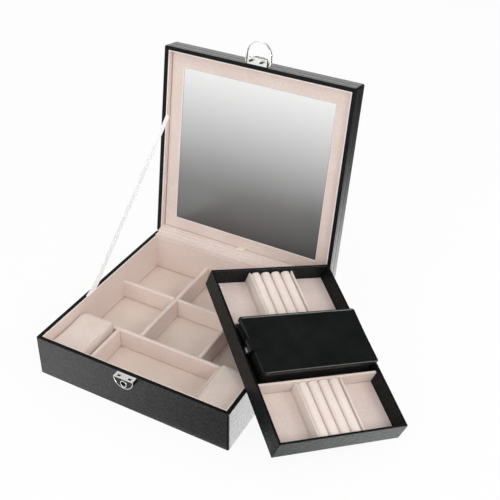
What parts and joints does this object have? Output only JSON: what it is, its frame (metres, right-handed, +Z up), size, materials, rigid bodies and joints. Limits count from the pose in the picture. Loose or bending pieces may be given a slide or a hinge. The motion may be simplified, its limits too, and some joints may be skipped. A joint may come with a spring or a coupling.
{
  "type": "tiered jewelry box",
  "caption": "Square hinged jewelry box with a mirrored lid, a divided lined base, a lift-out tray with ring rolls and a small travel case.",
  "frame": {"origin": "centre of the base's underside, on the surface that the box stands on", "axes": "+X to the box's right seen from the front, +Y from the front to the hinge side, +Z up"},
  "size_m": [0.4256, 0.3371, 0.3415],
  "materials": {
    "leatherette": "black grained leatherette over board, satin",
    "smooth_leatherette": "black smooth leatherette, soft sheen",
    "velvet": "pale pink velvet lining, matte",
    "board": "grey pressed board, raw",
    "mirror": "silvered mirror glass",
    "chrome": "plated, polished",
    "ribbon": "cream ribbon"
  },
  "bodies": {
    "base": {"base_front_board": "leatherette", "base_back_board": "leatherette", "base_left_board": "leatherette", "base_right_board": "leatherette", "base_bottom_board": "board", "hinge_rail": "board", "base_floor_lining": "velvet", "base_front_lining": "velvet", "base_back_lining": "velvet", "base_left_lining": "velvet", "base_right_lining": "velvet", "rear_cross_divider": "velvet", "front_cross_divider": "velvet", "left_long_divider": "velvet", "right_long_divider": "velvet", "left_short_divider": "velvet", "right_short_divider": "velvet", "lock_case": "chrome", "hinge_gusset": "velvet", "hinge_spine": "leatherette", "ribbon_stay": "ribbon"},
    "key": {"key_barrel": "chrome"},
    "bolt": {"lock_bolt": "chrome"},
    "left_pillow": {"left_watch_pillow": "velvet"},
    "right_pillow": {"right_watch_pillow": "velvet"},
    "lid": {"lid_top_board": "leatherette", "lid_front_wall": "leatherette", "lid_back_wall": "leatherette", "lid_left_wall": "leatherette", "lid_right_wall": "leatherette", "lid_front_lining": "velvet", "lid_back_lining": "velvet", "lid_left_lining": "velvet", "lid_right_lining": "velvet", "mirror_frame": "velvet", "mirror_glass": "mirror", "mirror_board": "board", "left_mirror_batten": "board", "right_mirror_batten": "board", "pull_tab": "ribbon", "hasp": "chrome", "ring_pin": "chrome"},
    "ring": {"pull_ring": "chrome"},
    "tray": {"tray_floor": "leatherette", "tray_left_wall": "leatherette", "tray_right_wall": "leatherette", "tray_front_wall": "leatherette", "tray_rear_wall": "leatherette", "tray_front_partition": "leatherette", "tray_rear_partition": "leatherette", "tray_front_pad": "velvet", "tray_middle_pad": "velvet", "tray_rear_pad": "velvet", "front_ring_rolls": "velvet", "rear_ring_rolls": "velvet"},
    "case": {"case_body": "smooth_leatherette"},
    "flap": {"case_flap": "smooth_leatherette", "case_tab": "smooth_leatherette", "case_snap": "chrome"}
  },
  "joints": [
    {"name": "lid_hinge", "type": "hinge", "parent": "base", "child": "lid", "pos_m": [0, 0.13, 0.0562], "axis": [-1, 0, 0], "range_deg": [-98.67, 0], "deforming": ["hinge_gusset", "hinge_spine", "ribbon_stay"]},
    {"name": "ring_swing", "type": "hinge", "parent": "lid", "child": "ring", "pos_m": [0, 0.17427, 0.316], "axis": [1, 0, 0], "range_deg": [-90, 90]},
    {"name": "key_turn", "type": "hinge", "parent": "base", "child": "key", "pos_m": [0, -0.136, 0.0485], "axis": [0, -1, 0], "range_deg": [0, 90]},
    {"name": "bolt_slide", "type": "slide", "parent": "base", "child": "bolt", "axis": [-1, 0, 0], "range_m": [0, 0.0016]},
    {"name": "left_pillow_lift", "type": "slide", "parent": "base", "child": "left_pillow", "axis": [0, 0, 1], "range_m": [0, 0.06]},
    {"name": "right_pillow_lift", "type": "slide", "parent": "base", "child": "right_pillow", "axis": [0, 0, 1], "range_m": [0, 0.018]},
    {"name": "tray_away", "type": "slide", "parent": "base", "child": "tray", "axis": [0.7809, -0.6247, 0], "range_m": [0, 0.2]},
    {"name": "case_lift", "type": "slide", "parent": "tray", "child": "case", "axis": [0.3394, -0.0103, 0.9406], "range_m": [0, 0.05]},
    {"name": "case_flap_hinge", "type": "hinge", "parent": "case", "child": "flap", "pos_m": [0.20896, 0.05166, 0.05999], "axis": [-0.7139, 0.6483, 0.2647], "range_deg": [0, 100]}
  ],
  "couplings": [
    {"joint": "key_turn", "follows": "bolt_slide", "rad_per_m": 981.7},
    {"joint": "tray_away", "follows": "lid_hinge", "m_per_rad": -0.11613}
  ]
}
